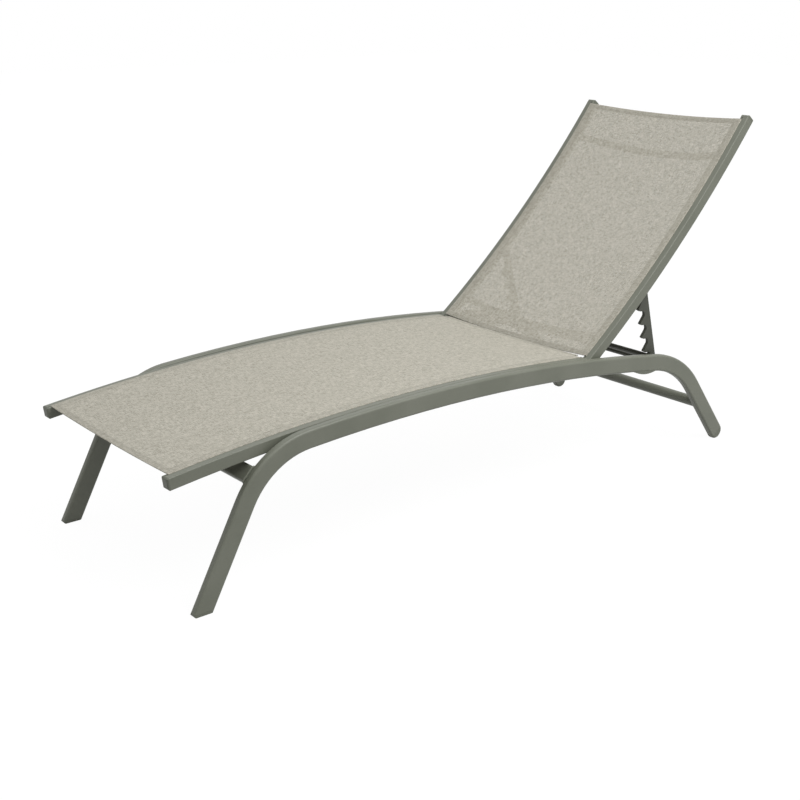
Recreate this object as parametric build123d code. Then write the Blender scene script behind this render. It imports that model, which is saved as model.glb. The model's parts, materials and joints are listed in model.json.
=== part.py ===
from build123d import *
import os
from math import asin, atan2, copysign, cos, degrees, pi, radians, sin, sqrt, tan

# A stackable garden sun lounger: two bent tube side frames, a seat and a backrest of curved
# extruded rails with cloth stretched between them, and a pair of toothed racks under the backrest
# that hook over a cross bar. Millimetres, +X towards the head, +Z up, the user's left is -Y.

# Side frames, each one tube bent from the front foot over to the rear foot
overall_width = 634.0
tube_depth = 44.0
tube_width = 20.0
tube_wall = 2.0
tube_corner = 6.0
front_leg_angle = 61.85
front_leg_run = 246.8
front_bend_radius = 202.5
arch_start_angle = 4.37
arch_radius = 4813.0
arch_end_angle = -9.11
rear_bend_radius = 250.4
rear_leg_angle = -52.89
foot_sole = 8.0
foot_round = 5.0
foot_plug = 22.0
rear_foot_flat = 0.8
plug_clearance = 0.2

# Sling rails, one extrusion for seat and backrest, with a slot in its top for the cloth's edge
rail_gap = 6.0
rail_width = 24.0
rail_depth = 28.0
rail_wall = 2.0
rail_corner = 2.5
channel_radius = 4.0
channel_inset = 6.6
channel_cover = 2.2
slot_width = 2.6
seat_rail_radius = 5178.0
seat_rail_drop = 3.6
seat_rail_shift = 4.0
seat_rail_front = 688.4
seat_hinge_run = 533.3
seat_hinge_gap = 20.0
back_rail_angle = 37.5
back_rail_radius = 3384.0
back_rail_length = 817.0
foot_cap = 6.5
foot_cap_round = 6.0
top_cap = 11.0
top_cap_round = 9.0
cap_plan_round = 4.0
cap_plug = 18.0

# Cloth slings, held by a round rod in a sewn sleeve along each edge
cloth = 1.1
cloth_lift = 0.2
rod_radius = 2.3
rod_clearance = 0.05
seat_sag = 5.0
back_sag = 16.0
sling_front_inset = 7.0
sling_top_inset = 6.0
sling_hinge_inset = 9.0
sling_notch = 22.0
rail_end_inset = 2.0

# Cross members
flat_tube_depth = 40.0
flat_tube_width = 20.0
front_tube_turn = 15.5
rear_tube_radius = 14.5
rear_tube_height = 118.0
cross_radius = 10.0
cross_wall = 1.8
cross_drop = 4.0
middle_tube_run = 40.0
seat_rear_tube_back = 92.0
lower_tube_run = 90.0
upper_tube_inset = 111.0
cross_tube_bow = 40.0
rack_bar_radius = 7.0
rack_bar_past_arch = 19.0
rack_bar_rise = 7.35

# Racks: toothed plates that hang from the backrest rails and hook over the rack bar
rack_pivot_run = 276.0
rack_pivot_drop = 5.0
rack_plate = 9.0
rack_side_gap = 2.0
rack_boss_radius = 15.0
rack_web_back = 12.0
rack_web_front = 8.0
rack_notches = 4
rack_pitch = 40.8
notch_radius = 8.0
notch_play = 4.3
notch_slack = 3.6
notch_lead = 16.0
tooth_reach = 30.0
tooth_tip_reach = 24.0
tooth_tip_drop = 17.0
tooth_lip_drop = 10.5
notch_floor_angle = 50.0
tooth_round = 1.2
toe_reach = 21.0
toe_run = 18.0
link_bar_radius = 6.0
link_bar_run = 31.8

# Hinges: a bracket on the seat rail's end has an ear along the rail's inner face, and a bolt
# through the backrest rail's round end screws into it
hinge_plug = 45.0
hinge_flange = 3.0
hinge_ear = 6.0
ear_radius = 11.5
ear_back = 60.0
ear_ahead = 30.0
hinge_head = 3.2
hinge_washer = 1.0
hinge_washer_radius = 9.0

# Fasteners
pivot_radius = 4.0
running_clearance = 0.05
fixed_clearance = 0.02
bush_wall = 1.6
bush_flange = 0.7
bush_flange_width = 2.4
pivot_head_radius = 7.0
pivot_head = 4.2
pivot_head_gap = 0.3
socket_width = 5.0
socket_depth = 2.4
rivet_wall = 1.4
rivet_length = 9.0
rivet_flange = 0.9
rivet_flange_width = 1.6
rail_bolt_radius = 3.0
rail_bolt_head_radius = 5.2
rail_bolt_head = 3.0
rail_bolt_count = 4
rail_bolt_before_arch = 12.9
rail_bolt_end_inset = 113.3
spacer_radius = 8.0

# Pads under the arch, on which the next lounger of a stack lies
stack_pad_run = 1084.0
stack_pad_length = 78.0
stack_pad_depth = 6.5
stack_pad_lap = 3.0
overrun = 60.0

across = Vector(0, 1, 0)


def along(angle):
    return Vector(cos(radians(angle)), 0, sin(radians(angle)))


def square_to(angle):
    return Vector(-sin(radians(angle)), 0, cos(radians(angle)))


def section_plane(point, angle):
    # local x runs across the lounger and local y is the rise square to the run
    return Plane(origin=point, x_dir=across, z_dir=along(angle))


class Bow:
    # a circular line in the XZ plane with a start and a heading; a negative radius bends downwards
    def __init__(self, start, heading, radius):
        self.heading = heading
        self.radius = radius
        self.centre = start + square_to(heading) * radius

    def angle(self, run):
        return self.heading + degrees(run / self.radius)

    def run_to(self, angle):
        return radians(angle - self.heading) * self.radius

    def point(self, run, rise=0, side=0):
        return self.centre - square_to(self.angle(run)) * (self.radius - rise) + across * side

    def solid(self, section, start, end):
        face = section_plane(self.point(start), self.angle(start)) * section
        axis = Axis(self.centre, across * -copysign(1, self.radius))
        return revolve(face, axis, abs(degrees((end - start) / self.radius)))


def mirrored(shape):
    return shape.mirror(Plane.XZ)


def ring(outer, inner):
    return Circle(outer) - Circle(inner)


def hollow_tube(width, depth, wall, corner):
    return RectangleRounded(width, depth, corner) - RectangleRounded(
        width - wall - wall, depth - wall - wall, corner - wall
    )


def across_plane(point, y):
    # a plane facing +Y, so that what is extruded from it runs across the lounger
    return Plane(origin=Vector(point.X, y, point.Z), x_dir=Vector(1, 0, 0), z_dir=across)


def cylinder_across(point, radius, low, high):
    return extrude(across_plane(point, low) * Circle(radius), high - low)


def tube_across(point, radius, wall, half_width):
    section = ring(radius, radius - wall)
    return extrude(across_plane(point, -half_width) * section, half_width + half_width)


# The side frame's course, a chain of straight runs and bows through the tube's middle
leg_top = along(front_leg_angle) * front_leg_run
front_bend = Bow(leg_top, front_leg_angle, -front_bend_radius)
front_bend_end = front_bend.run_to(arch_start_angle)
arch = Bow(front_bend.point(front_bend_end), arch_start_angle, -arch_radius)
arch_end = arch.run_to(arch_end_angle)
rear_bend = Bow(arch.point(arch_end), arch_end_angle, -rear_bend_radius)
rear_bend_end = rear_bend.run_to(rear_leg_angle)
rear_leg_top = rear_bend.point(rear_bend_end)
rear_foot_radius = tube_depth / 2
rear_leg_run = (rear_leg_top.Z - rear_foot_radius + rear_foot_flat) / sin(radians(-rear_leg_angle))
rear_foot_centre = rear_leg_top + along(rear_leg_angle) * rear_leg_run

# Places across the lounger
frame_y = (overall_width - tube_width) / 2
frame_inner_y = overall_width / 2 - tube_width
rail_outer_y = frame_inner_y - rail_gap
rail_y = rail_outer_y - rail_width / 2
rail_inner_y = rail_outer_y - rail_width
slot_y = rail_inner_y + channel_inset
half_depth = rail_depth / 2

# Rises in the rail's section: the channel for the cloth's rod, over a closed chamber
channel_rise = half_depth - channel_cover - channel_radius
chamber_top = channel_rise - channel_radius - rail_wall
chamber_bottom = rail_wall - half_depth
chamber_height = chamber_top - chamber_bottom
chamber_width = rail_width - rail_wall - rail_wall
chamber_middle = (chamber_top + chamber_bottom) / 2
rivet_radius = rail_bolt_radius + rivet_wall
bush_radius = pivot_radius + running_clearance + bush_wall

# The seat rails follow the arch's crest, and the backrest rails' middle lines start at their end
arch_crest = arch.point(arch.run_to(0))
seat_crest = arch_crest + Vector(-seat_rail_shift, 0, tube_depth / 2 - seat_rail_drop - half_depth)
seat = Bow(seat_crest, 0, -seat_rail_radius)
rails_meet = seat.point(seat_hinge_run)
seat_rail_end = seat_hinge_run - seat_hinge_gap
back = Bow(rails_meet, back_rail_angle, back_rail_radius)

# The hinge axis lies in the middle of both rails' chambers
half_fold = (back_rail_angle - seat.angle(seat_hinge_run)) / 2
hinge = rails_meet + square_to(back_rail_angle - half_fold) * (chamber_middle / cos(radians(half_fold)))

# The rack hangs from its pivot so that its last notch meets the bar
rack_pivot = back.point(rack_pivot_run, -rack_pivot_drop)
rack_bar = arch.point(arch_end) + along(arch_end_angle) * rack_bar_past_arch
rack_bar += square_to(arch_end_angle) * rack_bar_rise
to_bar = rack_bar - rack_pivot
bar_run = sqrt(to_bar.X**2 + to_bar.Z**2 - notch_lead**2)
rack_angle = degrees(atan2(to_bar.Z, to_bar.X)) + degrees(asin(notch_lead / to_bar.length))
last_notch = bar_run - notch_play
link_run = last_notch + link_bar_run
web_middle = (rack_web_front - rack_web_back) / 2
half_web = (rack_web_front + rack_web_back) / 2
rack_outer_y = rail_inner_y - rack_side_gap
rack_inner_y = rack_outer_y - rack_plate


def side_frame():
    tube = hollow_tube(tube_width, tube_depth, tube_wall, tube_corner)
    leg_start = along(front_leg_angle) * -overrun
    leg = extrude(section_plane(leg_start, front_leg_angle) * tube, front_leg_run + overrun)
    rear = extrude(section_plane(rear_leg_top, rear_leg_angle) * tube, rear_leg_run)
    frame = leg + front_bend.solid(tube, 0, front_bend_end)
    frame += arch.solid(tube, 0, arch_end)
    frame += rear_bend.solid(tube, 0, rear_bend_end)
    frame += rear
    frame -= floor_slab(-overrun - tube_depth, foot_sole)
    for run in rail_bolt_runs():
        place = seat.point(run, chamber_middle)
        frame -= cylinder_across(place, rivet_radius + fixed_clearance, -tube_width, 0)
    return Pos(0, frame_y, 0) * frame


def floor_slab(low, high):
    size = tube_depth + overrun + overrun
    return Pos(0, 0, low) * Box(size, size, high - low, align=(Align.CENTER, Align.CENTER, Align.MIN))


def rail_bolt_runs():
    first = -arch.run_to(0) - rail_bolt_before_arch
    last = seat_rail_end - rail_bolt_end_inset
    step = (last - first) / (rail_bolt_count - 1)
    return [first + index * step for index in range(rail_bolt_count)]


def front_foot():
    leg_start = along(front_leg_angle) * -overrun
    start = section_plane(leg_start, front_leg_angle)
    outer = extrude(start * RectangleRounded(tube_width, tube_depth, tube_corner), overrun + overrun)
    half = tube_depth / 2 / sin(radians(front_leg_angle))
    lean = foot_sole / tan(radians(front_leg_angle))
    corners = ((-half, 0), (half, 0), (half + lean, foot_sole), (lean - half, foot_sole))
    side = make_face(Polyline(*corners, close=True))
    side = fillet(side.vertices().group_by(Axis.Y)[0], foot_round)
    sole = outer & extrude(Plane.XZ * side, tube_width, both=True)
    inset = tube_wall + plug_clearance
    bore = RectangleRounded(
        tube_width - inset - inset, tube_depth - inset - inset, tube_corner - inset
    )
    plug = extrude(start * bore, overrun + overrun) & floor_slab(foot_sole, foot_sole + foot_plug)
    return Pos(0, frame_y, 0) * (sole + plug)


def rear_foot():
    end = section_plane(rear_foot_centre, rear_leg_angle)
    half = RectangleRounded(tube_width, tube_depth, tube_corner) & Pos(0, tube_depth / 2) * Rectangle(
        tube_width + overrun, tube_depth
    )
    rounded = revolve(end * half, Axis(rear_foot_centre, across), 180)
    rounded -= Pos(rear_foot_centre.X, 0, 0) * floor_slab(-overrun, 0)
    inset = tube_wall + plug_clearance
    bore = RectangleRounded(
        tube_width - inset - inset, tube_depth - inset - inset, tube_corner - inset
    )
    plug = extrude(end * bore, -foot_plug)
    return Pos(0, frame_y, 0) * (rounded + plug)


def rail_outline():
    # local x runs across the lounger and local y is the rise from the middle of the rail's depth
    return RectangleRounded(rail_width, rail_depth, rail_corner)


def chamber(clearance=0):
    width = chamber_width - clearance - clearance
    height = chamber_height - clearance - clearance
    return Pos(0, chamber_middle) * RectangleRounded(width, height, rail_corner - rail_wall)


def rail_section():
    channel = Pos(slot_y - rail_y, channel_rise) * Circle(channel_radius)
    slot = Pos(slot_y - rail_y, half_depth) * Rectangle(slot_width, half_depth)
    return rail_outline() - chamber() - channel - slot


def seat_rail():
    rail = seat.solid(rail_section(), -seat_rail_front, seat_rail_end)
    for run in rail_bolt_runs():
        place = seat.point(run, chamber_middle)
        rail -= cylinder_across(place, rail_bolt_radius + running_clearance, -rail_width, rail_width)
    return Pos(0, rail_y, 0) * rail


def back_rail():
    rail = back.solid(rail_section(), 0, back_rail_length) + round_end(rail_section(), half_depth)
    rail -= cylinder_across(hinge, bush_radius + fixed_clearance, -rail_width, rail_width)
    hole = pivot_radius + rivet_wall + fixed_clearance
    rail -= cylinder_across(rack_pivot, hole, -rail_width, 0)
    return Pos(0, rail_y, 0) * rail


def round_end(section, radius):
    # carries a section on past the start of the backrest rail and ends it in a half circle
    end = extrude(section_plane(rails_meet, back_rail_angle) * section, -radius)
    return end & cylinder_across(rails_meet, radius, -rail_width, rail_width)


def rail_cap(plane, length, corner):
    # the plane faces out of the rail's end
    cap = extrude(plane * rail_outline(), length)
    side = rounded_front(length, rail_depth, corner)
    cap &= extrude(Plane(plane.origin, plane.z_dir, -across) * side, rail_width, both=True)
    plan = rounded_front(length, rail_width, cap_plan_round)
    cap &= extrude(Plane(plane.origin, plane.z_dir, plane.y_dir) * plan, rail_depth, both=True)
    return Pos(0, rail_y, 0) * (cap + extrude(plane * chamber(plug_clearance), -cap_plug))


def rounded_front(length, width, corner):
    shape = Rectangle(length + length, width)
    return fillet(shape.vertices().group_by(Axis.X)[-1], corner)


def seat_cap():
    facing = along(seat.angle(-seat_rail_front)) * -1
    plane = Plane(origin=seat.point(-seat_rail_front), x_dir=-across, z_dir=facing)
    return rail_cap(plane, foot_cap, foot_cap_round)


def back_cap():
    plane = section_plane(back.point(back_rail_length), back.angle(back_rail_length))
    return rail_cap(plane, top_cap, top_cap_round)


def cloth_sheet(sag, half_width=None):
    # level over the rails and sagging between them, with its sewn sleeves unless a width is given
    top = half_depth + cloth_lift + cloth
    low = top - cloth
    free = rail_inner_y + rail_corner
    reach = slot_y + cloth / 2
    outline = Bezier((-free, top), (0, top - sag - sag), (free, top))
    outline += Line((free, top), (reach, top))
    outline += Line((reach, top), (reach, low))
    outline += Line((reach, low), (free, low))
    outline += Bezier((free, low), (0, low - sag - sag), (-free, low))
    outline += Line((-free, low), (-reach, low))
    outline += Line((-reach, low), (-reach, top))
    outline += Line((-reach, top), (-free, top))
    face = make_face(outline)
    if half_width:
        face &= Rectangle(half_width + half_width, rail_depth + rail_depth)
    else:
        inner = rod_radius + rod_clearance
        sleeve = ring(inner + cloth, inner)
        drop = low - channel_rise - inner
        tail = Pos(0, low - drop / 2) * Rectangle(cloth, drop)
        for side in (-slot_y, slot_y):
            face += Pos(side, channel_rise) * sleeve
            face += Pos(side, 0) * tail
            face -= Pos(side, channel_rise) * Circle(inner)
    return face


def seat_sling():
    front = sling_front_inset - seat_rail_front
    wide_end = seat_rail_end - rail_end_inset
    sling = seat.solid(cloth_sheet(seat_sag), front, wide_end)
    tongue = cloth_sheet(seat_sag, slot_y - sling_notch)
    return sling + seat.solid(tongue, wide_end, seat_hinge_run - sling_hinge_inset)


def back_sling():
    return back.solid(cloth_sheet(back_sag), sling_hinge_inset, back_rail_length - sling_top_inset)


def edge_rod(bow, start, end):
    rod = bow.solid(Pos(0, channel_rise) * Circle(rod_radius), start, end)
    return Pos(0, slot_y, 0) * rod


def front_cross_tube():
    angle = front_leg_angle - front_tube_turn
    run = front_bend.run_to(angle)
    middle = front_bend.point(run, (tube_depth - flat_tube_width) / 2)
    plane = Plane(origin=middle - across * frame_inner_y, x_dir=along(angle), z_dir=across)
    section = hollow_tube(flat_tube_depth, flat_tube_width, tube_wall, tube_corner)
    return extrude(plane * section, frame_inner_y + frame_inner_y)


def rear_cross_tube():
    down = (rear_leg_top.Z - rear_tube_height) / sin(radians(-rear_leg_angle))
    place = rear_leg_top + along(rear_leg_angle) * down
    return tube_across(place, rear_tube_radius, cross_wall, frame_inner_y)


def bowed_cross_tube(run):
    # bows away from the user's back, and is cut square where it meets the rails
    middle = back.point(run, -cross_drop)
    plane = section_plane(middle, back.angle(run))
    radius = (rail_inner_y**2 + cross_tube_bow**2) / (cross_tube_bow + cross_tube_bow)
    axis = Axis(middle + plane.y_dir * (radius - cross_tube_bow), -plane.z_dir)
    lowest = Plane(origin=middle - plane.y_dir * cross_tube_bow, x_dir=plane.z_dir, z_dir=across)
    section = lowest * ring(cross_radius, cross_radius - cross_wall)
    turn = degrees(asin((rail_inner_y + cross_radius) / radius))
    tube = revolve(section.rotate(axis, -turn), axis, turn + turn)
    size = rail_depth + cross_tube_bow + overrun + overrun
    return tube & Pos(middle.X, 0, middle.Z) * Box(size, rail_inner_y + rail_inner_y, size)


def rack_plane(y):
    # local x runs down the rack from its pivot, local y towards the bar side
    return Plane(origin=rack_pivot + across * y, x_dir=along(rack_angle), z_dir=across)


def notch_place(index):
    return last_notch - (rack_notches - 1 - index) * rack_pitch


def rack_outline():
    floor_turn = radians(notch_floor_angle)
    first = notch_place(0)
    floor_end = (first - tooth_tip_drop - tooth_tip_reach, rack_web_front)
    edge = Line((0, rack_web_front), floor_end)
    for index in range(rack_notches):
        place = notch_place(index)
        tip = (place - tooth_tip_drop, tooth_reach)
        lip = (place - tooth_lip_drop, tooth_tip_reach)
        seat_top = (place - notch_radius, notch_lead)
        seat_back = (place, notch_lead - notch_radius)
        seat_low = (place + notch_slack, notch_lead - notch_radius)
        seat_bend = (
            place + notch_slack + notch_radius * sin(floor_turn / 2),
            notch_lead - notch_radius * cos(floor_turn / 2),
        )
        seat_floor = (
            place + notch_slack + notch_radius * sin(floor_turn),
            notch_lead - notch_radius * cos(floor_turn),
        )
        seat_curve = (
            place - notch_radius * cos(pi / 4),
            notch_lead - notch_radius * sin(pi / 4),
        )
        edge += Line(floor_end, tip)
        edge += Line(tip, lip)
        edge += Line(lip, seat_top)
        edge += ThreePointArc(seat_top, seat_curve, seat_back)
        edge += Line(seat_back, seat_low)
        edge += ThreePointArc(seat_low, seat_bend, seat_floor)
        floor_end = seat_floor
    toe = (last_notch + toe_run, toe_reach)
    toe_end = (link_run + half_web * cos(pi / 4), web_middle + half_web * sin(pi / 4))
    edge += Line(floor_end, toe)
    edge += Line(toe, toe_end)
    edge += Line(toe_end, (link_run, web_middle))
    edge += Line((link_run, web_middle), (link_run, -rack_web_back))
    edge += Line((link_run, -rack_web_back), (0, -rack_web_back))
    edge += Line((0, -rack_web_back), (0, rack_web_front))
    return make_face(edge)


def rack_plate_piece():
    shape = rack_outline()
    tips = [
        v
        for v in shape.vertices()
        if v.Y > tooth_tip_reach - tooth_round or abs(v.Y - toe_reach) < tooth_round
    ]
    shape = fillet(tips, tooth_round)
    shape += Circle(rack_boss_radius)
    shape += Pos(link_run, web_middle) * Circle(half_web)
    shape -= Circle(bush_radius + fixed_clearance)
    shape -= Pos(link_run, web_middle) * Circle(link_bar_radius + fixed_clearance)
    return extrude(rack_plane(rack_inner_y) * shape, rack_plate)


def link_bar():
    place = rack_plane(0).from_local_coords((link_run, web_middle, 0))
    return cylinder_across(place, link_bar_radius, -rack_outer_y, rack_outer_y)


ear_low_y = rail_inner_y - hinge_ear
ear_high_y = rail_inner_y - bush_flange - pivot_head_gap


def seat_tongue():
    # a plug and a flange on the rail's end, and an ear that stands off where the backrest rail turns
    flange_end = seat_rail_end + hinge_flange
    bracket = seat.solid(chamber(plug_clearance), seat_rail_end - hinge_plug, seat_rail_end)
    bracket += seat.solid(rail_outline(), seat_rail_end, flange_end)
    bracket = Pos(0, rail_y, 0) * bracket
    inner = Vector(hinge.X, ear_low_y, hinge.Z)
    side = Plane(origin=inner, x_dir=along(seat.angle(seat_hinge_run)), z_dir=across)
    ear = SlotCenterToCenter(ear_ahead + ear_back, ear_radius + ear_radius)
    ear = Pos((ear_ahead - ear_back) / 2, 0) * ear
    bracket += extrude(side * ear, ear_high_y - ear_low_y)
    stand_off = seat_hinge_run - flange_end
    pad = Pos(-(ear_back + stand_off) / 2, 0) * Rectangle(ear_back - stand_off, ear_radius + ear_radius)
    bracket += extrude(side * pad, hinge_ear)
    return bracket - cylinder_across(hinge, pivot_radius + fixed_clearance, 0, rail_inner_y)


def back_tongue():
    # a solid insert in the backrest rail's round end, bored for the bush
    insert = back.solid(chamber(plug_clearance), 0, hinge_plug)
    insert += round_end(chamber(plug_clearance), half_depth - plug_clearance)
    insert -= cylinder_across(hinge, bush_radius + fixed_clearance, -rail_width, rail_width)
    return Pos(0, rail_y, 0) * insert


def button_bolt(place, head_y, shank, radius, head_radius, head):
    # the head stands towards the middle of the lounger, the shank runs outwards from head_y
    dome = cylinder_across(place, head_radius, head_y - head, head_y)
    dome = fillet(dome.faces().sort_by(Axis.Y)[0].edges(), head / 2)
    hexagon = across_plane(place, head_y - head) * RegularPolygon(socket_width / 2, 6)
    dome -= extrude(hexagon, socket_depth * head / pivot_head)
    return dome + cylinder_across(place, radius, head_y, head_y + shank)


def bush(place, low, high):
    sleeve = cylinder_across(place, bush_radius, low, high)
    sleeve += cylinder_across(place, bush_radius + bush_flange_width, low - bush_flange, low)
    return sleeve - cylinder_across(place, pivot_radius + running_clearance, low - bush_flange, high)


def rivet_nut(place, face_y, inner, depth):
    # set in a tube wall from the lounger's middle, with a thin flange on the wall's face
    outer = inner + rivet_wall
    nut = cylinder_across(place, outer, face_y, face_y + depth)
    nut += cylinder_across(place, outer + rivet_flange_width, face_y - rivet_flange, face_y)
    return nut - cylinder_across(place, inner + fixed_clearance, face_y - rivet_flange, face_y + depth)


def hinge_bolt():
    # the bolt goes in from the outside, so its head stands in the gap beside the side frame
    head_y = rail_outer_y + pivot_head_gap + hinge_washer
    shank = head_y - ear_low_y
    return mirrored(button_bolt(hinge, -head_y, shank, pivot_radius, pivot_head_radius, hinge_head))


def hinge_washer_ring():
    low = rail_outer_y + pivot_head_gap
    washer = cylinder_across(hinge, hinge_washer_radius, low, low + hinge_washer)
    return washer - cylinder_across(hinge, pivot_radius + fixed_clearance, low, low + hinge_washer)


def rack_bolt():
    head_y = rack_inner_y - bush_flange - pivot_head_gap
    shank = rail_inner_y + rivet_length - head_y
    return button_bolt(rack_pivot, head_y, shank, pivot_radius, pivot_head_radius, pivot_head)


def rail_bolts():
    solids = []
    shank = rail_width + rail_gap + rivet_length
    for run in rail_bolt_runs():
        place = seat.point(run, chamber_middle)
        bolt = button_bolt(
            place, rail_inner_y, shank, rail_bolt_radius, rail_bolt_head_radius, rail_bolt_head
        )
        solids.append(bolt)
    return solids


def rail_spacers():
    solids = []
    for run in rail_bolt_runs():
        place = seat.point(run, chamber_middle)
        spacer = cylinder_across(place, spacer_radius, rail_outer_y, frame_inner_y - rivet_flange)
        hole = rail_bolt_radius + running_clearance
        solids.append(spacer - cylinder_across(place, hole, rail_outer_y, frame_inner_y))
    return solids


def frame_rivet_nuts():
    runs = rail_bolt_runs()
    return [
        rivet_nut(seat.point(run, chamber_middle), frame_inner_y, rail_bolt_radius, rivet_length)
        for run in runs
    ]


def stack_pad():
    # hugs the tube's underside, thickest in the middle and running out at both ends
    height = stack_pad_depth + stack_pad_lap
    half = stack_pad_length / 2
    radius = (half**2 + stack_pad_depth**2) / (stack_pad_depth + stack_pad_depth)
    reach = sqrt(radius**2 - (radius - height) ** 2)
    section = Rectangle(tube_width, height)
    section = Pos(0, height / 2 - stack_pad_depth - tube_depth / 2) * section
    section -= RectangleRounded(tube_width, tube_depth, tube_corner)
    pad = arch.solid(section, stack_pad_run - reach, stack_pad_run + reach)
    middle = arch.point(stack_pad_run, radius - stack_pad_depth - tube_depth / 2)
    return Pos(0, frame_y, 0) * (pad & cylinder_across(middle, radius, -tube_width, tube_width))


def group(shapes):
    return Compound([solid for shape in shapes for solid in mirrored(shape).solids() + shape.solids()])


def build():
    sling_front = sling_front_inset - seat_rail_front
    sling_top = back_rail_length - sling_top_inset
    right = {
        "side_frame": side_frame(),
        "front_foot": front_foot(),
        "rear_foot": rear_foot(),
        "seat_rail": seat_rail(),
        "seat_rail_cap": seat_cap(),
        "seat_hinge_tongue": seat_tongue(),
        "seat_edge_rod": edge_rod(seat, sling_front, seat_rail_end - rail_end_inset),
        "stacking_pad": stack_pad(),
        "back_rail": back_rail(),
        "back_rail_cap": back_cap(),
        "back_hinge_tongue": back_tongue(),
        "back_edge_rod": edge_rod(back, sling_hinge_inset, sling_top),
        "rack_plate": rack_plate_piece(),
    }
    nodes = {}
    for name, shape in right.items():
        nodes[name + "_right"] = shape
        nodes[name + "_left"] = mirrored(shape)
    nodes["front_cross_tube"] = front_cross_tube()
    nodes["rear_cross_tube"] = rear_cross_tube()
    middle = seat.point(middle_tube_run, -cross_drop)
    nodes["seat_middle_cross_tube"] = tube_across(middle, cross_radius, cross_wall, rail_inner_y)
    rear = seat.point(seat_hinge_run - seat_rear_tube_back, -cross_drop)
    nodes["seat_rear_cross_tube"] = tube_across(rear, cross_radius, cross_wall, rail_inner_y)
    nodes["rack_bar"] = cylinder_across(rack_bar, rack_bar_radius, -frame_inner_y, frame_inner_y)
    nodes["seat_sling"] = seat_sling()
    nodes["seat_rail_bolts"] = group(rail_bolts())
    nodes["seat_rail_spacers"] = group(rail_spacers())
    nodes["frame_rivet_nuts"] = group(frame_rivet_nuts())
    nodes["hinge_bolts"] = group([hinge_bolt()])
    nodes["hinge_washers"] = group([hinge_washer_ring()])
    nodes["hinge_bushes"] = group([bush(hinge, rail_inner_y, rail_outer_y)])
    nodes["back_lower_cross_tube"] = bowed_cross_tube(lower_tube_run)
    nodes["back_upper_cross_tube"] = bowed_cross_tube(back_rail_length - upper_tube_inset)
    nodes["back_sling"] = back_sling()
    nodes["rack_bolts"] = group([rack_bolt()])
    pivot_nut = rivet_nut(rack_pivot, rail_inner_y, pivot_radius, rivet_length)
    nodes["rack_rivet_nuts"] = group([pivot_nut])
    nodes["rack_bushes"] = group([bush(rack_pivot, rack_inner_y, rack_outer_y)])
    nodes["rack_link_bar"] = link_bar()
    return nodes


nodes = build()
foot_end = nodes["seat_rail_cap_left"].bounding_box().min.X
head_end = nodes["back_rail_cap_left"].bounding_box().max.X
shift = Vector(-(foot_end + head_end) / 2, 0, 0)
print("length", round(head_end - foot_end, 1))
places = {"hinge": hinge, "rack pivot": rack_pivot, "rack bar": rack_bar, "crest": arch_crest}
for label, place in places.items():
    moved = place + shift
    print(label, round(moved.X, 2), round(moved.Y, 2), round(moved.Z, 2))
os.makedirs("parts", exist_ok=True)
for name, shape in nodes.items():
    export_step(Pos(shift.X, shift.Y, shift.Z) * shape, "parts/" + name + ".step")
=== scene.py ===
import bpy
import bmesh
import json
from math import asin, cos, hypot, pi, radians, sin
from mathutils import Matrix, Vector


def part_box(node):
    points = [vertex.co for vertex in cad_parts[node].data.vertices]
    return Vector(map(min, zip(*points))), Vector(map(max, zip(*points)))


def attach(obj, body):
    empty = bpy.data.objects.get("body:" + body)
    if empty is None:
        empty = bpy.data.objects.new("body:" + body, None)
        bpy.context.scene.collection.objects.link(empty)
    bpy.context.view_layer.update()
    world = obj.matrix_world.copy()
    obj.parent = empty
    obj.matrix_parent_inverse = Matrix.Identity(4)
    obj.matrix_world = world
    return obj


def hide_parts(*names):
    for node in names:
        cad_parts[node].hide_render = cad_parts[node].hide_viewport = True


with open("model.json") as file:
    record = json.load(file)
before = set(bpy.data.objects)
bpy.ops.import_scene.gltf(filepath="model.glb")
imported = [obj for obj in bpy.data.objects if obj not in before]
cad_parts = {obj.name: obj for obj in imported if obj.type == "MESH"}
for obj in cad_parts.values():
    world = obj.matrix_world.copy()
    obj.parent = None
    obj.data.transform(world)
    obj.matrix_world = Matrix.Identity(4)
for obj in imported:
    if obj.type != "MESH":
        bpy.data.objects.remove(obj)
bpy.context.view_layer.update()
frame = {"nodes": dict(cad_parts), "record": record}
nodes = frame["nodes"]


print("frame loaded:", len(nodes), "nodes")

# the lines that the cloth and the rails follow, in metres and degrees
seatBow = {"start": (-0.217355, 0.342380), "heading": 0.0, "radius": -5.178}
seatHingeRun = 0.5333
rail = {
    "slotY": 0.2736,  # middle of the slot that holds the cloth's edge
    "flatY": 0.2695,  # inside this the cloth is free of the rail
    "halfDepth": 0.014,
    "channelRise": 0.0078,
}


def bowPoint(bow, run, rise):
    startAngle = radians(bow["heading"])
    angle = startAngle + run / bow["radius"]
    reach = bow["radius"] - rise
    centreX = bow["start"][0] - sin(startAngle) * bow["radius"]
    centreZ = bow["start"][1] + cos(startAngle) * bow["radius"]
    return centreX + sin(angle) * reach, centreZ - cos(angle) * reach


backStart = bowPoint(seatBow, seatHingeRun, 0.0)
backBow = {"start": backStart, "heading": 37.5, "radius": 3.384}


def newMaterial(name):
    material = bpy.data.materials.new(name)
    material.use_nodes = True
    tree = material.node_tree
    return material, tree, tree.nodes["Principled BSDF"]


def addNode(tree, kind, **settings):
    node = tree.nodes.new(kind)
    for key, value in settings.items():
        setattr(node, key, value)
    return node


def feed(tree, socket, value):
    # a socket takes either a link from another node or a plain value
    if hasattr(value, "links"):
        tree.links.new(value, socket)
    elif socket.type == "RGBA":
        socket.default_value = (*value, 1.0)
    else:
        socket.default_value = value


def mathNode(tree, operation, first, second=0.0):
    node = addNode(tree, "ShaderNodeMath", operation=operation)
    for socket, value in zip(node.inputs, (first, second)):
        feed(tree, socket, value)
    return node.outputs[0]


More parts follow.
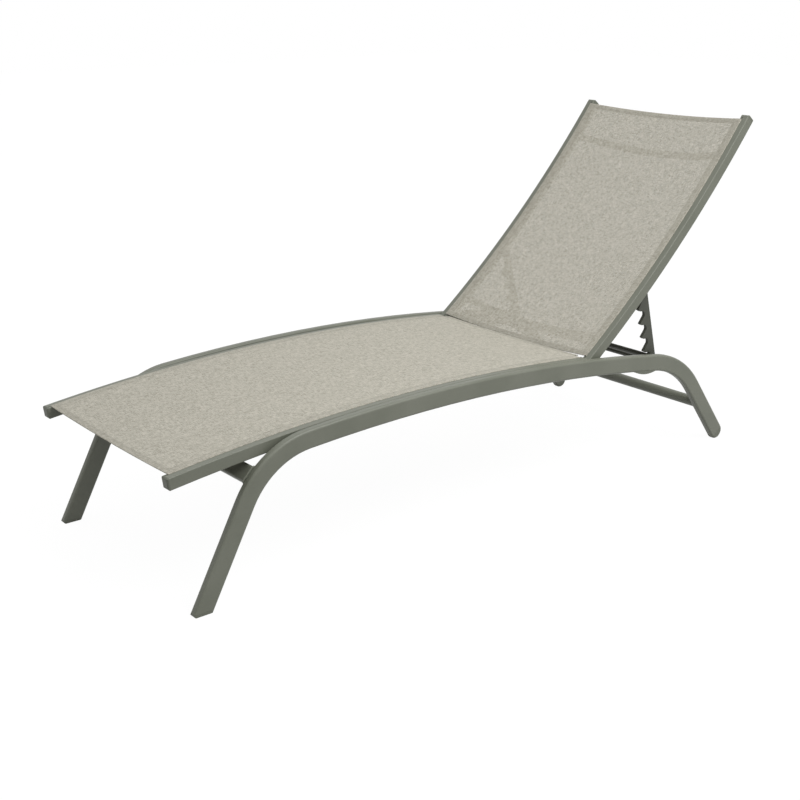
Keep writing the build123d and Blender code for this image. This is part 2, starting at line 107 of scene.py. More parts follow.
def mixColour(tree, factor, first, second):
    node = addNode(tree, "ShaderNodeMix", data_type="RGBA")
    feed(tree, node.inputs[0], factor)
    feed(tree, node.inputs[6], first)
    feed(tree, node.inputs[7], second)
    return node.outputs[2]


def mixNumber(tree, factor, first, second):
    node = addNode(tree, "ShaderNodeMix", data_type="FLOAT")
    feed(tree, node.inputs[0], factor)
    feed(tree, node.inputs[2], first)
    feed(tree, node.inputs[3], second)
    return node.outputs[0]


def mapRange(tree, value, fromLow, fromHigh, toLow=0.0, toHigh=1.0):
    node = addNode(tree, "ShaderNodeMapRange")
    numbers = {
        "Value": value,
        "From Min": fromLow,
        "From Max": fromHigh,
        "To Min": toLow,
        "To Max": toHigh,
    }
    for label, number in numbers.items():
        feed(tree, node.inputs[label], number)
    return node.outputs["Result"]


def noise(tree, vector, scale, detail=2.0, roughness=0.5):
    node = addNode(tree, "ShaderNodeTexNoise")
    settings = {"Vector": vector, "Scale": scale, "Detail": detail, "Roughness": roughness}
    for label, value in settings.items():
        feed(tree, node.inputs[label], value)
    return node.outputs["Fac"]


def bump(tree, height, distance, strength=1.0):
    node = addNode(tree, "ShaderNodeBump")
    for label, value in (("Height", height), ("Distance", distance), ("Strength", strength)):
        feed(tree, node.inputs[label], value)
    return node.outputs["Normal"]


def newGroup(name, inputs, outputs):
    group = bpy.data.node_groups.new(name, "ShaderNodeTree")
    for label, kind, default in inputs:
        socket = group.interface.new_socket(label, in_out="INPUT", socket_type=kind)
        if default is not None:
            socket.default_value = default
    for label, kind in outputs:
        group.interface.new_socket(label, in_out="OUTPUT", socket_type=kind)
    enter = group.nodes.new("NodeGroupInput")
    leave = group.nodes.new("NodeGroupOutput")
    return group, enter.outputs, leave.inputs


def useGroup(tree, group, **values):
    node = tree.nodes.new("ShaderNodeGroup")
    node.node_tree = group
    for label, value in values.items():
        feed(tree, node.inputs[label], value)
    return node.outputs


mottleLook = {"patches": (0.36, 0.64), "broadDetail": 4.0, "fineDetail": 1.0}


def makeMottleGroup():
    # slow unevenness of a finish and its fine grain, such as a powder coat's orange peel
    group, enter, leave = newGroup(
        "finishMottle",
        [
            ("Vector", "NodeSocketVector", None),
            ("Broad", "NodeSocketFloat", 6.0),
            ("Fine", "NodeSocketFloat", 900.0),
        ],
        [("Patches", "NodeSocketFloat"), ("Grain", "NodeSocketFloat")],
    )
    broad = noise(group, enter["Vector"], enter["Broad"], mottleLook["broadDetail"])
    fine = noise(group, enter["Vector"], enter["Fine"], mottleLook["fineDetail"])
    group.links.new(mapRange(group, broad, *mottleLook["patches"]), leave["Patches"])
    group.links.new(fine, leave["Grain"])
    return group


wearLook = {
    "samples": 4,
    "sharp": (0.995, 0.90),  # how far the rounded normal leaves the plain one
    "gaps": (0.42, 0.62),
    "detail": 3.0,
    "radius": 0.0011,
    "share": 0.55,
}


def makeEdgeWearGroup():
    # finds sharp edges by rounding the normal over a small radius, and breaks them up
    group, enter, leave = newGroup(
        "edgeWear",
        [
            ("Vector", "NodeSocketVector", None),
            ("Radius", "NodeSocketFloat", 0.001),
            ("Break Up", "NodeSocketFloat", 60.0),
        ],
        [("Wear", "NodeSocketFloat")],
    )
    rounded = addNode(group, "ShaderNodeBevel", samples=wearLook["samples"])
    feed(group, rounded.inputs["Radius"], enter["Radius"])
    plain = addNode(group, "ShaderNodeNewGeometry").outputs["Normal"]
    dot = addNode(group, "ShaderNodeVectorMath", operation="DOT_PRODUCT")
    group.links.new(rounded.outputs["Normal"], dot.inputs[0])
    group.links.new(plain, dot.inputs[1])
    edge = mapRange(group, dot.outputs["Value"], *wearLook["sharp"])
    gaps = noise(group, enter["Vector"], enter["Break Up"], wearLook["detail"])
    broken = mapRange(group, gaps, *wearLook["gaps"])
    group.links.new(mathNode(group, "MULTIPLY", edge, broken), leave["Wear"])
    return group


mottleGroup = makeMottleGroup()
edgeWearGroup = makeEdgeWearGroup()

paintLook = {
    "colour": (0.136, 0.144, 0.112),
    "dusty": (0.158, 0.165, 0.132),
    "worn": (0.235, 0.240, 0.205),
    "roughness": (0.36, 0.47),
    "peel": 420.0,
    "peelDepth": 0.00006,
    "gloss": 0.42,
}
# the frame's own grey-green paint darkened as painted shade, for the rack parts that sit under the
# backrest
rackPaintedShadeLook = {
    "colour": (0.046, 0.049, 0.037),
    "dusty": (0.060, 0.063, 0.050),
    "worn": (0.150, 0.152, 0.130),
    "roughness": (0.40, 0.52),
    "peel": 420.0,
    "peelDepth": 0.00006,
    "gloss": 0.40,
}
frameMouldingLook = {
    "colour": (0.118, 0.125, 0.098),
    "dusty": (0.140, 0.147, 0.117),
    "worn": (0.190, 0.195, 0.165),
    "roughness": (0.48, 0.60),
    "peel": 1500.0,
    "peelDepth": 0.00005,
    "gloss": 0.40,
}
darkMouldingLook = {
    "colour": (0.026, 0.027, 0.024),
    "dusty": (0.048, 0.049, 0.044),
    "worn": (0.080, 0.080, 0.074),
    "roughness": (0.52, 0.66),
    "peel": 1500.0,
    "peelDepth": 0.00006,
    "gloss": 0.40,
}


coatBroad = 9.0
coatBump = 0.7


def coatedMaterial(name, look):
    material, tree, shader = newMaterial(name)
    place = addNode(tree, "ShaderNodeTexCoord").outputs["Object"]
    mottle = useGroup(tree, mottleGroup, Vector=place, Broad=coatBroad, Fine=look["peel"])
    wear = useGroup(tree, edgeWearGroup, Vector=place, Radius=wearLook["radius"])["Wear"]
    colour = mixColour(tree, mottle["Patches"], look["colour"], look["dusty"])
    worn = mathNode(tree, "MULTIPLY", wear, wearLook["share"])
    colour = mixColour(tree, worn, colour, look["worn"])
    tree.links.new(colour, shader.inputs["Base Color"])
    low, high = look["roughness"]
    roughness = mapRange(tree, mottle["Patches"], 0.0, 1.0, low, high)
    tree.links.new(roughness, shader.inputs["Roughness"])
    orangePeel = bump(tree, mottle["Grain"], look["peelDepth"], coatBump)
    tree.links.new(orangePeel, shader.inputs["Normal"])
    shader.inputs["Specular IOR Level"].default_value = look["gloss"]
    return material


steelLook = {
    "colour": (0.50, 0.50, 0.49),
    "shade": (0.36, 0.36, 0.35),
    "broad": 90.0,
    "scratch": 700.0,
    "scratchRange": (0.3, 0.7),
    "roughness": (0.24, 0.42),
    "depth": 0.00002,
    "bump": 0.5,
}


def steelMaterial():
    material, tree, shader = newMaterial("stainlessFastener")
    place = addNode(tree, "ShaderNodeTexCoord").outputs["Object"]
    broad, fine = steelLook["broad"], steelLook["scratch"]
    mottle = useGroup(tree, mottleGroup, Vector=place, Broad=broad, Fine=fine)
    colour = mixColour(tree, mottle["Patches"], steelLook["colour"], steelLook["shade"])
    tree.links.new(colour, shader.inputs["Base Color"])
    shader.inputs["Metallic"].default_value = 1.0
    rough = mapRange(tree, mottle["Grain"], *steelLook["scratchRange"], *steelLook["roughness"])
    tree.links.new(rough, shader.inputs["Roughness"])
    scratches = bump(tree, mottle["Grain"], steelLook["depth"], steelLook["bump"])
    tree.links.new(scratches, shader.inputs["Normal"])
    return material


# how the two slings are cut; start, end and hem are runs along the rails
slingCut = {
    "cloth": 0.0011,
    "lift": 0.0002,
    "rodRadius": 0.0023,
    "sideHem": 0.022,
    "bend": 0.0007,
    "fold": 0.00062,  # radius of the folded hem at each end
    "slack": 0.00005,
    "hemLimit": 0.0001,  # cloth lower than this belongs to an end hem
    "hemStop": 0.002,  # an end hem stops this far inside the rail's slot
    "endNotch": 0.022,  # how far the seat's end steps in from the rails
}
seatSling = {
    "start": -0.6814,
    "end": 0.5243,
    "wideEnd": 0.5113,  # from here on the cloth is notched at both sides
    "hem": 0.016,
    "sag": 0.005,
    "rows": 72,
}
backSling = {
    "start": 0.009,
    "end": 0.811,
    "wideEnd": 0.811,
    "hem": 0.015,
    "sag": 0.016,
    "rows": 56,
}

clothLook = {
    "light": (0.530, 0.506, 0.438),
    "middle": (0.400, 0.381, 0.320),
    "dark": (0.235, 0.226, 0.182),
    "warm": (0.450, 0.398, 0.334),
    "cool": (0.372, 0.378, 0.318),
    "yarnPitch": 0.0019,
    "yarnWidth": 0.77,  # share of the pitch, which leaves a twentieth of the cloth open
    "shallow": (0.38, 0.62),  # the holes start to close at the first and are shut at the second
    "slubLength": 0.014,
    "slubShare": 2.4,  # how far the tone moves from one yarn to the next
    "slubDetail": (2.0, 0.6),
    "warpSeed": 3.0,
    "weftSeed": 17.0,
    "tones": (0.40, 0.50, 0.60),
    "dyeBroad": 14.0,
    "dyeFine": 400.0,
    "tint": (0.18, 0.36),
    "weaveDepth": 0.0004,
    "weaveBump": 0.6,
    "crown": -4.0,
    "roughness": 0.72,
    "gloss": 0.3,
    "sheen": 0.08,
    # painted shade on the doubled hems, for the light that two layers of cloth let through less
    "hemPaintedShade": 0.20,
}


def yarnTone(tree, cell, length, seed):
    # each yarn has its own colour, which changes slowly along it
    place = addNode(tree, "ShaderNodeCombineXYZ")
    feed(tree, place.inputs["X"], mathNode(tree, "MULTIPLY", cell, clothLook["slubShare"]))
    feed(tree, place.inputs["Y"], mathNode(tree, "DIVIDE", length, clothLook["slubLength"]))
    place.inputs["Z"].default_value = seed
    return noise(tree, place.outputs["Vector"], 1.0, *clothLook["slubDetail"])


def hemMask(tree, along, across, look):
    # one where the cloth is doubled, along both rails and at both ends
    side = mathNode(tree, "ABSOLUTE", across)
    side = mathNode(tree, "GREATER_THAN", side, rail["slotY"] - slingCut["sideHem"])
    foot = mathNode(tree, "LESS_THAN", along, look["start"] + look["hem"])
    head = mathNode(tree, "GREATER_THAN", along, look["end"] - look["hem"])
    return mathNode(tree, "MAXIMUM", side, mathNode(tree, "MAXIMUM", foot, head))


def clothMaterial(name, look):
    # an open plain weave of coated yarn: U runs along the lounger and V across it, both in metres
    material, tree, shader = newMaterial(name)
    uv = addNode(tree, "ShaderNodeUVMap", uv_map="cloth").outputs["UV"]
    parts = addNode(tree, "ShaderNodeSeparateXYZ")
    tree.links.new(uv, parts.inputs["Vector"])
    cells, inside = [], []
    for side in ("X", "Y"):
        count = mathNode(tree, "DIVIDE", parts.outputs[side], clothLook["yarnPitch"])
        cell = mathNode(tree, "FLOOR", count)
        offset = mathNode(tree, "SUBTRACT", mathNode(tree, "SUBTRACT", count, cell), 0.5)
        cells.append(cell)
        inside.append(mathNode(tree, "ABSOLUTE", offset))
    # a yarn's own thickness closes the holes to a shallow look along the cloth
    facing = addNode(tree, "ShaderNodeLayerWeight").outputs["Facing"]
    half = mapRange(tree, facing, *clothLook["shallow"], clothLook["yarnWidth"] / 2, 0.5)
    weft = mathNode(tree, "LESS_THAN", inside[0], half)
    warp = mathNode(tree, "LESS_THAN", inside[1], half)
    over = mathNode(tree, "PINGPONG", mathNode(tree, "ADD", cells[0], cells[1]), 1.0)
    bare = mathNode(tree, "SUBTRACT", 1.0, warp)
    weftOnTop = mathNode(tree, "MULTIPLY", weft, mathNode(tree, "MAXIMUM", over, bare))
    warpTone = yarnTone(tree, cells[1], parts.outputs["X"], clothLook["warpSeed"])
    weftTone = yarnTone(tree, cells[0], parts.outputs["Y"], clothLook["weftSeed"])
    tone = mixNumber(tree, weftOnTop, warpTone, weftTone)
    low, middle, high = clothLook["tones"]
    toMiddle = mapRange(tree, tone, low, middle)
    dark = mixColour(tree, toMiddle, clothLook["dark"], clothLook["middle"])
    colour = mixColour(tree, mapRange(tree, tone, middle, high), dark, clothLook["light"])
    broad, fine = clothLook["dyeBroad"], clothLook["dyeFine"]
    dye = useGroup(tree, mottleGroup, Vector=uv, Broad=broad, Fine=fine)
    yarnDye = mixColour(tree, weftOnTop, clothLook["warm"], clothLook["cool"])
    tint = mapRange(tree, dye["Patches"], 0.0, 1.0, *clothLook["tint"])
    colour = mixColour(tree, tint, colour, yarnDye)
    hem = hemMask(tree, parts.outputs["X"], parts.outputs["Y"], look)
    # the doubled hems are darkened as painted shade, standing in for the light that the doubled
    # cloth no longer lets through
    shade = mathNode(tree, "MULTIPLY", hem, clothLook["hemPaintedShade"])
    colour = mixColour(tree, shade, colour, clothLook["dark"])
    tree.links.new(colour, shader.inputs["Base Color"])
    # a ray that got in through a hole leaves again, so one layer of yarn decides what is open
    fromInside = addNode(tree, "ShaderNodeNewGeometry").outputs["Backfacing"]
    outside = mathNode(tree, "SUBTRACT", 1.0, fromInside)
    yarn = mathNode(tree, "MULTIPLY", mathNode(tree, "MAXIMUM", weft, warp), outside)
    tree.links.new(yarn, shader.inputs["Alpha"])
    crown = mixNumber(
        tree,
        weftOnTop,
        mathNode(tree, "MULTIPLY", inside[1], inside[1]),
        mathNode(tree, "MULTIPLY", inside[0], inside[0]),
    )
    height = mathNode(tree, "MULTIPLY", crown, clothLook["crown"])
    weave = bump(tree, height, clothLook["weaveDepth"], clothLook["weaveBump"])
    tree.links.new(weave, shader.inputs["Normal"])
    shader.inputs["Roughness"].default_value = clothLook["roughness"]
    shader.inputs["Specular IOR Level"].default_value = clothLook["gloss"]
    shader.inputs["Sheen Weight"].default_value = clothLook["sheen"]
    return material


threadLook = {
    "colour": (0.30, 0.29, 0.245),
    "shade": (0.22, 0.21, 0.175),
    "broad": 60.0,
    "fine": 2500.0,
    "depth": 0.0001,
    "bump": 0.7,
    "roughness": 0.6,
}


def threadMaterial():
    material, tree, shader = newMaterial("sewingThread")
    place = addNode(tree, "ShaderNodeTexCoord").outputs["Object"]
    broad, fine = threadLook["broad"], threadLook["fine"]
    mottle = useGroup(tree, mottleGroup, Vector=place, Broad=broad, Fine=fine)
    colour = mixColour(tree, mottle["Grain"], threadLook["colour"], threadLook["shade"])
    tree.links.new(colour, shader.inputs["Base Color"])
    twist = bump(tree, mottle["Grain"], threadLook["depth"], threadLook["bump"])
    tree.links.new(twist, shader.inputs["Normal"])
    shader.inputs["Roughness"].default_value = threadLook["roughness"]
    return material


paint = coatedMaterial("greyGreenPowderCoat", paintLook)
frameMoulding = coatedMaterial("greyGreenMoulding", frameMouldingLook)
darkMoulding = coatedMaterial("darkMoulding", darkMouldingLook)
steel = steelMaterial()
# a darker copy of the frame paint, which paints the backrest's shade on the rack parts
rackPaintedShade = coatedMaterial("rackPowderCoat", rackPaintedShadeLook)
seatWeave = clothMaterial("seatSlingWeave", seatSling)
backWeave = clothMaterial("backSlingWeave", backSling)
thread = threadMaterial()
slotMaterials = {
    "frame_paint": paint,
    "frame_plastic": frameMoulding,
    "black_plastic": darkMoulding,
    "fasteners": steel,
    "seat_cloth": seatWeave,
    "back_cloth": backWeave,
}
# the rack plates, link bar and rack bar get the darkened paint: painted shade, the same paint as
# the frame
paintedShadeNodes = ("rack_plate_left", "rack_plate_right", "rack_link_bar", "rack_bar")
for entry in frame["record"]["subparts"]:
    node = nodes[entry["node"]]
    node.data.materials.clear()
    inPaintedShade = entry["node"] in paintedShadeNodes
    node.data.materials.append(rackPaintedShade if inPaintedShade else slotMaterials[entry["material_slot"]])
print("materials made")


def finishPiece(bm, name, material):
    mesh = bpy.data.meshes.new(name)
    bm.to_mesh(mesh)
    bm.free()
    piece = bpy.data.objects.new(name, mesh)
    bpy.context.scene.collection.objects.link(piece)
    mesh.materials.append(material)
    for polygon in mesh.polygons:
        polygon.use_smooth = True
    return piece


# how many steps each stretch of a sling's lines is drawn with
slingSteps = {"flat": 15, "bend": 4, "round": 12, "under": 4, "fold": 6}


def sheetRise(sag, y):
    top = rail["halfDepth"] + slingCut["lift"] + slingCut["cloth"] / 2
    return top - sag * max(0.0, 1 - (y / rail["flatY"]) ** 2)


def sectionLine(sag):
    # half of the sling's section from its middle: over the rail, down the slot, round the rod,
    # up again and back under itself, as y, rise and length along the cloth
    slot, bend = rail["slotY"], slingCut["bend"]
    half = slingCut["cloth"] / 2 + slingCut["slack"]
    top = sheetRise(sag, slot)
    flatSteps, bendSteps, roundSteps = slingSteps["flat"], slingSteps["bend"], slingSteps["round"]
    points = []
    for step in range(flatSteps + 1):
        y = rail["flatY"] * step / flatSteps
        points.append((y, sheetRise(sag, y)))
    for step in range(bendSteps + 1):
        turn = pi / 2 * step / bendSteps
        points.append((slot + half - bend + bend * sin(turn), top - bend + bend * cos(turn)))
    around = slingCut["rodRadius"] + half
    opening = asin(half / around)
    for step in range(roundSteps + 1):
        turn = opening + (2 * pi - 2 * opening) * step / roundSteps
        points.append((slot + around * sin(turn), rail["channelRise"] + around * cos(turn)))
    under = slingCut["cloth"] + 2 * slingCut["slack"]
    for step in range(bendSteps + 1):
        turn = pi / 2 * step / bendSteps
        y = slot - half - bend + bend * cos(turn)
        points.append((y, top - under - bend + bend * sin(turn)))
    for step in range(1, slingSteps["under"] + 1):
        y = slot - half - bend - (slingCut["sideHem"] - bend) * step / slingSteps["under"]
        points.append((y, sheetRise(sag, y) - under))
    return withLengths(points, 0.0)


def withLengths(points, length):
    line = []
    for index, point in enumerate(points):
        if index:
            length += hypot(point[0] - points[index - 1][0], point[1] - points[index - 1][1])
        line.append((*point, length))
    return line


def rowLine(look):
    # along the sling, with a folded hem at each end: run, offset under the sheet, and length
    start, end, hem, fold = look["start"], look["end"], look["hem"], slingCut["fold"]
    first, last, foldSteps = start + fold, end - fold, slingSteps["fold"]
    points = [(start + hem, -2 * fold), (first, -2 * fold)]
    for step in range(1, foldSteps):
        turn = pi * step / foldSteps
        points.append((first - fold * sin(turn), -fold - fold * cos(turn)))
    for step in range(look["rows"] + 1):
        points.append((first + (last - first) * step / look["rows"], 0.0))
    for step in range(1, foldSteps):
        turn = pi * step / foldSteps
        points.append((last + fold * sin(turn), -fold + fold * cos(turn)))
    points += [(last, -2 * fold), (end - hem, -2 * fold)]
    return withLengths(points, start - hem)


def slingSheet(bow, look):
    # a flat grid whose rows and columns are laid on the two lines, with its cut size as UV
    rows = rowLine(look)
    half = sectionLine(look["sag"])
    section = [(-y, rise, -length) for y, rise, length in reversed(half[1:])] + half
    bm = bmesh.new()
    bmesh.ops.create_grid(bm, x_segments=len(rows) - 1, y_segments=len(section) - 1, size=1.0)
    cut = bm.loops.layers.uv.new("cloth")
    flat, spare = {}, {}
    for vert in bm.verts:
        run, offset, length = rows[round((vert.co.x + 1) / 2 * (len(rows) - 1))]
        y, rise, width = section[round((vert.co.y + 1) / 2 * (len(section) - 1))]
        x, z = bowPoint(bow, run, rise + offset)
        vert.co = (x, y, z)
        flat[vert] = (length, width)
        spare[vert] = (run, offset)
    for face in bm.faces:
        for loop in face.loops:
            loop[cut].uv = flat[loop.vert]
    doomed = []
    for face in bm.faces:
        count = len(face.verts)
        width = sum(abs(flat[vert][1]) for vert in face.verts) / count
        run = sum(spare[vert][0] for vert in face.verts) / count
        offset = sum(spare[vert][1] for vert in face.verts) / count
        notched = run > look["wideEnd"] and width > rail["slotY"] - slingCut["endNotch"]
        inHem = offset < -slingCut["hemLimit"]
        if notched or (inHem and width > rail["slotY"] - slingCut["hemStop"]):
            doomed.append(face)
    bmesh.ops.delete(bm, geom=doomed, context="FACES")
    bmesh.ops.recalc_face_normals(bm, faces=bm.faces[:])
    size = (section[-1][2] - section[0][2], rows[-1][2] - rows[0][2])
    return bm, size


def buildSling(name, bow, look, body, node, slot):
    bm, size = slingSheet(bow, look)
    area = sum(face.calc_area() for face in bm.faces)
    piece = finishPiece(bm, name, slotMaterials[slot])
    wall = piece.modifiers.new("clothThickness", "SOLIDIFY")
    wall.thickness = slingCut["cloth"]
    wall.offset = 0.0
    wall.use_even_offset = True
    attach(piece, body)
    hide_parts(node)
    print(name, "is cut", round(size[0], 3), "by", round(size[1], 3), "m,", round(area, 3), "m2")


buildSling(
    "seatSlingCloth", seatBow, seatSling, "frame", "seat_sling", "seat_cloth",
)
buildSling(
    "backSlingCloth", backBow, backSling, "backrest", "back_sling", "back_cloth",
)

stitchLook = {
    "spacing": 0.0042,
    "length": 0.0031,
    "width": 0.0009,
    "height": 0.0005,
    "sides": 6,
    "rings": 4,
    "rows": (0.0025, 0.0055),  # how far inside a hem's edge its rows lie
    "railClear": 0.008,
    "endClear": 0.004,
}


def makeStitchRow(count):
    # a straight row of beads in the flat, doubled until there are enough
    bm = bmesh.new()
    size = (stitchLook["length"] / 2, stitchLook["width"] / 2, stitchLook["height"] / 2, 1.0)
    bmesh.ops.create_uvsphere(
        bm, u_segments=stitchLook["sides"], v_segments=stitchLook["rings"],
        radius=1.0, matrix=Matrix.Diagonal(size),
    )
    spacing, made = stitchLook["spacing"], 1
    while made < count:
        copied = bmesh.ops.duplicate(bm, geom=bm.verts[:] + bm.edges[:] + bm.faces[:])["geom"]
        moved = [part for part in copied if isinstance(part, bmesh.types.BMVert)]
        bmesh.ops.translate(bm, verts=moved, vec=(made * spacing, 0.0, 0.0))
        made *= 2
    extra = [vert for vert in bm.verts if vert.co.x > (count - 0.5) * spacing]
    bmesh.ops.delete(bm, geom=extra, context="VERTS")
    bmesh.ops.translate(bm, verts=bm.verts[:], vec=((1 - count) / 2 * spacing, 0.0, 0.0))
    mesh = bpy.data.meshes.new("stitchRow")
    bm.to_mesh(mesh)
    bm.free()
    return mesh


def sewRow(bm, bow, sag, middle, length, across):
    # the same row on the sheet's top and underside, laid on its curve
    mesh = makeStitchRow(int(length / stitchLook["spacing"]))
    under = -2 * slingCut["fold"] - slingCut["cloth"] / 2
    for offset in (slingCut["cloth"] / 2, under):
        first = len(bm.verts)
        bm.from_mesh(mesh)
        bm.verts.ensure_lookup_table()
        for vert in bm.verts[first:]:
            along, wide, high = vert.co
            if across:
                along, wide = -wide, along
            y = middle[1] + wide
            x, z = bowPoint(bow, middle[0] + along, sheetRise(sag, y) + offset + high)
            vert.co = (x, y, z)
    bpy.data.meshes.remove(mesh)


def stitchSling(name, bow, look, body):
    bm = bmesh.new()
    innermost = rail["slotY"] - slingCut["sideHem"]
    widest = rail["slotY"] - stitchLook["railClear"]
    notched = look["wideEnd"] < look["end"]
    for edge, inward in ((look["start"], 1), (look["end"], -1)):
        reach = innermost - stitchLook["endClear"] if notched and inward < 0 else widest
        for row in stitchLook["rows"]:
            run = edge + inward * (look["hem"] - row)
            sewRow(bm, bow, look["sag"], (run, 0.0), 2 * reach, True)
    first, last = look["start"] + look["hem"], look["wideEnd"] - stitchLook["endClear"]
    for row in stitchLook["rows"]:
        for side in (-1, 1):
            middle = ((first + last) / 2, side * (innermost + row))
            sewRow(bm, bow, look["sag"], middle, last - first, False)
    piece = finishPiece(bm, name, thread)
    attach(piece, body)


stitchSling("seatSlingThread", seatBow, seatSling, "frame")
stitchSling("backSlingThread", backBow, backSling, "backrest")
print("slings and their stitching made")

weldLook = {
    "bead": 0.0022,
    "beadSides": 8,
    "ripple": 0.00022,
    "ripples": 26,
    "steps": 104,
    "tipDepth": 0.0008,
}
# where each round tube ends, as the distance from the middle, and the bead ring's radius there
frameWelds = {
    "rear_cross_tube": (0.2968, 0.0150),
    "rack_bar": (0.2968, 0.0075),
    "seat_middle_cross_tube": (0.2668, 0.0105),
    "seat_rear_cross_tube": (0.2668, 0.0105),
}
backrestWelds = {
    "back_lower_cross_tube": (0.2668, 0.0105),
    "back_upper_cross_tube": (0.2668, 0.0105),
}


def boxMiddle(name):
    low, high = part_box(name)
    return [(low[axis] + high[axis]) / 2 for axis in range(3)]


def tubeEnd(name, side):
    # the middle of a tube's end, which is off the box's middle where the tube is bowed
    node = nodes[name]
    points = [node.matrix_world @ vert.co for vert in node.data.vertices]
    tip = max(side * point.y for point in points) - weldLook["tipDepth"]
    ends = [point for point in points if side * point.y > tip]
    across = [point.x for point in ends]
    upright = [point.z for point in ends]
    return (min(across) + max(across)) / 2, (min(upright) + max(upright)) / 2


def addWeldRing(bm, centre, radius):
    # a rippled bead round a tube's end, spun about the lounger's width
    before = set(bm.verts)
    start = bmesh.ops.create_circle(
        bm, segments=weldLook["beadSides"], radius=weldLook["bead"]
    )["verts"]
    bmesh.ops.translate(bm, verts=start, vec=(radius, 0.0, 0.0))
    edges = list({edge for vert in start for edge in vert.link_edges})
    bmesh.ops.spin(
        bm, geom=start + edges, cent=(0.0, 0.0, 0.0), axis=(0.0, 1.0, 0.0),
        angle=2 * pi, steps=weldLook["steps"], use_merge=True,
    )
    ring = [vert for vert in bm.verts if vert not in before]
    for vert in ring:
        flat = Vector((vert.co.x, vert.co.z))
        phase = weldLook["ripples"] * Vector((1.0, 0.0)).angle_signed(flat, 0.0)
        heart = Vector((flat.x, 0.0, flat.y)).normalized() * radius
        vert.co += (vert.co - heart).normalized() * weldLook["ripple"] * sin(phase)
    bmesh.ops.translate(bm, verts=ring, vec=centre)


frontTube = {
    "depth": 0.040,
    "width": 0.020,
    "corner": 0.006,
    "cornerSteps": 6,
    "angle": 46.35,
    "bead": 0.0024,
    "rimShare": 0.9,
    "rimSteps": 3,
    "endY": 0.2968,
}


def addFrontTubeWeld(bm, side):
    # a bevelled collar round the flat tube is the bead where it meets the side frame
    middle, bead = boxMiddle("front_cross_tube"), frontTube["bead"]
    before = set(bm.verts)
    plate = bmesh.ops.create_cube(bm, size=1.0)["verts"]
    size = (frontTube["depth"] + 2 * bead, 2 * bead, frontTube["width"] + 2 * bead)
    bmesh.ops.scale(bm, verts=plate, vec=size)
    edges = {edge for vert in plate for edge in vert.link_edges}
    corners = [edge for edge in edges if edge.verts[0].co.y * edge.verts[1].co.y < 0]
    bmesh.ops.bevel(
        bm, geom=corners, offset=frontTube["corner"] + bead, segments=frontTube["cornerSteps"],
        affect="EDGES", profile=0.5, material=-1,
    )
    collar = [vert for vert in bm.verts if vert not in before]
    edges = {edge for vert in collar for edge in vert.link_edges}
    rims = [edge for edge in edges if edge.verts[0].co.y * edge.verts[1].co.y > 0]
    bmesh.ops.bevel(
        bm, geom=rims, offset=bead * frontTube["rimShare"], segments=frontTube["rimSteps"],
        affect="EDGES", profile=0.5, material=-1,
    )
    collar = [vert for vert in bm.verts if vert not in before]
    turn = Matrix.Rotation(-radians(frontTube["angle"]), 3, "Y")
    bmesh.ops.rotate(bm, verts=collar, cent=(0.0, 0.0, 0.0), matrix=turn)
    bmesh.ops.translate(bm, verts=collar, vec=(middle[0], side * frontTube["endY"], middle[2]))


def buildWelds(name, welds, body):
    bm = bmesh.new()
    for side in (-1, 1):
        for tube, (endY, radius) in welds.items():
            x, z = tubeEnd(tube, side)
            addWeldRing(bm, (x, side * endY, z), radius)
        if body == "frame":
            addFrontTubeWeld(bm, side)
    bmesh.ops.recalc_face_normals(bm, faces=bm.faces[:])
    piece = finishPiece(bm, name, paint)
    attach(piece, body)


buildWelds("frameWelds", frameWelds, "frame")
buildWelds("backrestWelds", backrestWelds, "backrest")
print("welds made")

view = {
    "place": (-2.0373, -2.4113, 1.2674),
    "turn": (71.435, 0.0, -39.089),
    "lens": 57.52,
    "sensor": 36.0,
}
cameraData = bpy.data.cameras.new("camera")
cameraData.lens = view["lens"]
cameraData.sensor_width = view["sensor"]
camera = bpy.data.objects.new("camera", cameraData)
camera.location = view["place"]
camera.rotation_euler = [radians(angle) for angle in view["turn"]]
bpy.context.scene.collection.objects.link(camera)
bpy.context.scene.camera = camera

light = {
    "zenith": 0.92,
    "zenithHeight": 0.8,
    "horizon": 0.10,
    "aim": (0.0, 0.0, 0.35),
    "key": 76.0,
    "keyPlace": (0.45, -2.0, 3.0),
    "keySize": 1.8,
    "fill": 12.0,
    "fillPlace": (0.8, -3.2, 1.1),
    "fillSize": 2.0,
}


def seenDirectly(tree):
    # one for what the camera sees, plainly or in a reflection
    path = addNode(tree, "ShaderNodeLightPath").outputs
    seen = mathNode(tree, "MAXIMUM", path["Is Camera Ray"], path["Is Glossy Ray"])
    return mathNode(tree, "MAXIMUM", seen, path["Is Transmission Ray"])


def makeWorld():
    # a soft sky, brighter overhead, that looks plain white
    world = bpy.data.worlds.new("studio")
    bpy.context.scene.world = world
    world.use_nodes = True
    tree = world.node_tree
    background = tree.nodes["Background"]
    background.inputs["Color"].default_value = (1.0, 1.0, 1.0, 1.0)
    parts = addNode(tree, "ShaderNodeSeparateXYZ")
    tree.links.new(addNode(tree, "ShaderNodeTexCoord").outputs["Generated"], parts.inputs["Vector"])
    height = parts.outputs["Z"]
    sky = mapRange(tree, height, 0.0, light["zenithHeight"], light["horizon"], light["zenith"])
    strength = mixNumber(tree, seenDirectly(tree), sky, 1.0)
    tree.links.new(strength, background.inputs["Strength"])


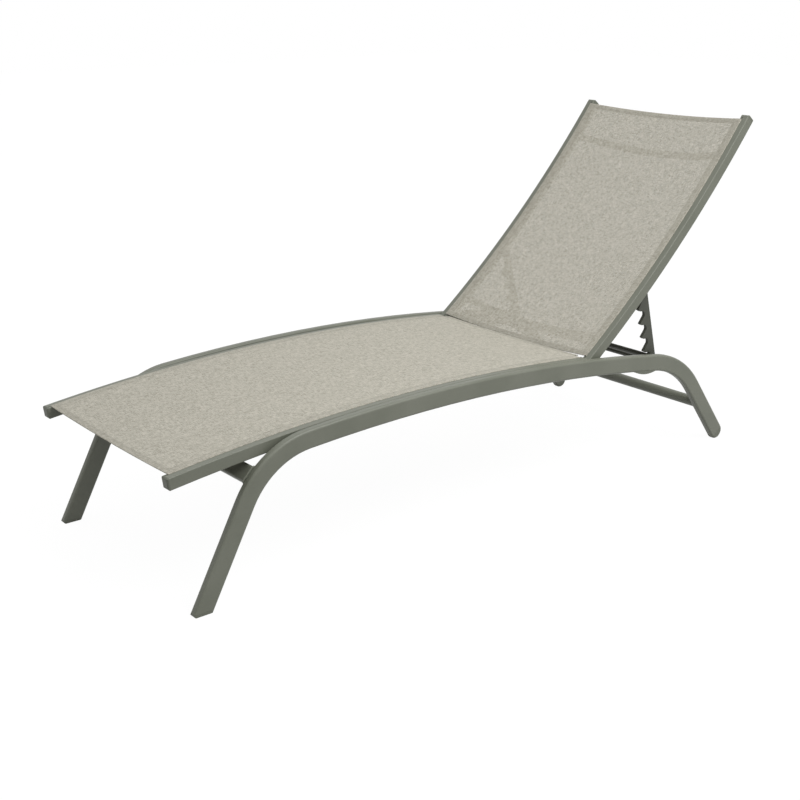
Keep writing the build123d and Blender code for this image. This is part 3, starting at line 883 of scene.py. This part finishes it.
def addAreaLight(name, place, size, energy):
    data = bpy.data.lights.new(name, "AREA")
    data.shape = "SQUARE"
    data.size = size
    data.energy = energy
    lamp = bpy.data.objects.new(name, data)
    lamp.location = place
    aim = Vector(light["aim"]) - Vector(place)
    lamp.rotation_euler = aim.to_track_quat("-Z", "Y").to_euler()
    bpy.context.scene.collection.objects.link(lamp)


makeWorld()
addAreaLight("keyLight", light["keyPlace"], light["keySize"], light["key"])
addAreaLight("fillLight", light["fillPlace"], light["fillSize"], light["fill"])

floorLook = {
    "size": 14.0,
    "squares": 8,
    "colour": (0.36, 0.36, 0.355),
    "pale": (0.40, 0.40, 0.40),
    "cloudScale": 0.7,
    "roughness": 0.9,
    "gloss": 0.1,
    "white": 0.86,  # share of the floor's look that is glow
    "glow": 1.12,
}


def makeFloor():
    # it looks white, and the part that isn't glow still takes the lounger's shadow
    bm = bmesh.new()
    squares = floorLook["squares"]
    bmesh.ops.create_grid(bm, x_segments=squares, y_segments=squares, size=floorLook["size"])
    material, tree, shader = newMaterial("paleFloor")
    place = addNode(tree, "ShaderNodeTexCoord").outputs["Object"]
    clouds = noise(tree, place, floorLook["cloudScale"])
    colour = mixColour(tree, clouds, floorLook["colour"], floorLook["pale"])
    tree.links.new(colour, shader.inputs["Base Color"])
    shader.inputs["Roughness"].default_value = floorLook["roughness"]
    shader.inputs["Specular IOR Level"].default_value = floorLook["gloss"]
    glow = addNode(tree, "ShaderNodeEmission")
    glow.inputs["Strength"].default_value = floorLook["glow"]
    mix = addNode(tree, "ShaderNodeMixShader")
    share = mathNode(tree, "MULTIPLY", seenDirectly(tree), floorLook["white"])
    tree.links.new(share, mix.inputs[0])
    tree.links.new(shader.outputs[0], mix.inputs[1])
    tree.links.new(glow.outputs[0], mix.inputs[2])
    output = next(node for node in tree.nodes if node.type == "OUTPUT_MATERIAL")
    tree.links.new(mix.outputs[0], output.inputs["Surface"])
    finishPiece(bm, "studioFloor", material)


makeFloor()
bpy.context.scene.view_settings.view_transform = "Standard"
print("scene ready")
